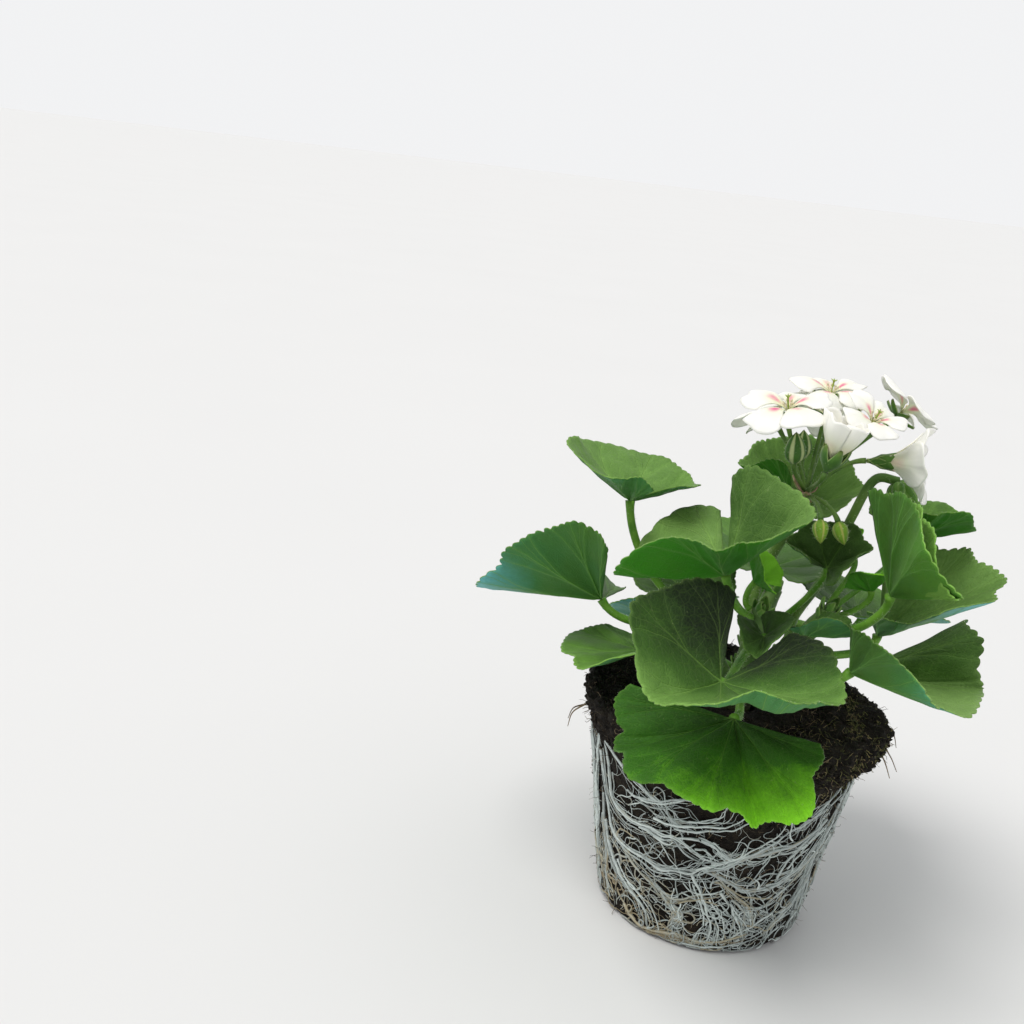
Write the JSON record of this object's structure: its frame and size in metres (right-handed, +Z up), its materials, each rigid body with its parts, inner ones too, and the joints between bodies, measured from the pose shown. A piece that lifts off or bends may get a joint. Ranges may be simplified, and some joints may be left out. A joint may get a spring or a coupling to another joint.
{
  "type": "zonal geranium plant with pot-shaped root ball",
  "caption": "Flowering zonal geranium lifted from its pot: a tapered, root-wrapped peat ball with folded, scalloped leaves and a raised head of white flowers and buds.",
  "frame": {"origin": "centre of the root ball's flat underside", "axes": "+Z up along the plant, -Y towards the side that shows in the picture, +X to that viewer's right"},
  "size_m": [0.2192, 0.2284, 0.246],
  "materials": {
    "peat": "rough, damp, dark brown potting peat",
    "roots": "matt off-white roots",
    "stem": "satin pale green, downy",
    "leaf": "satin mid to dark green, paler beneath",
    "young_leaf": "satin yellow-green",
    "flower_stalks": "satin green, downy",
    "petal": "matt white with pink marks near the middle"
  },
  "bodies": {
    "root": {"root_ball": "peat", "root_net": "roots", "stems": "stem", "leaf_far_left": "leaf", "leaf_high_left": "leaf", "leaf_upper_front": "leaf", "leaf_front": "leaf", "leaf_low_front": "leaf", "leaf_low_left": "leaf", "leaf_upper_rear": "leaf", "leaf_under_buds": "leaf", "leaf_upright_right": "leaf", "leaf_high_right": "leaf", "leaf_far_right": "leaf", "leaf_low_right": "leaf", "leaf_inner_front": "leaf", "leaf_inner_right": "leaf", "leaf_rear_left": "leaf", "leaf_rear": "leaf", "leaf_rear_right": "leaf", "leaf_low_rear": "leaf", "young_leaf_right": "young_leaf", "young_leaf_right_tip": "young_leaf", "young_leaf_centre": "young_leaf", "young_leaf_left": "young_leaf", "flower_head": "flower_stalks", "young_flower_head": "flower_stalks", "floret_left": "petal", "floret_top": "petal", "floret_middle": "petal", "floret_half_open": "petal", "floret_right": "petal", "floret_upper_right": "petal", "floret_rear": "petal", "floret_rear_left": "petal"}
  },
  "joints": []
}
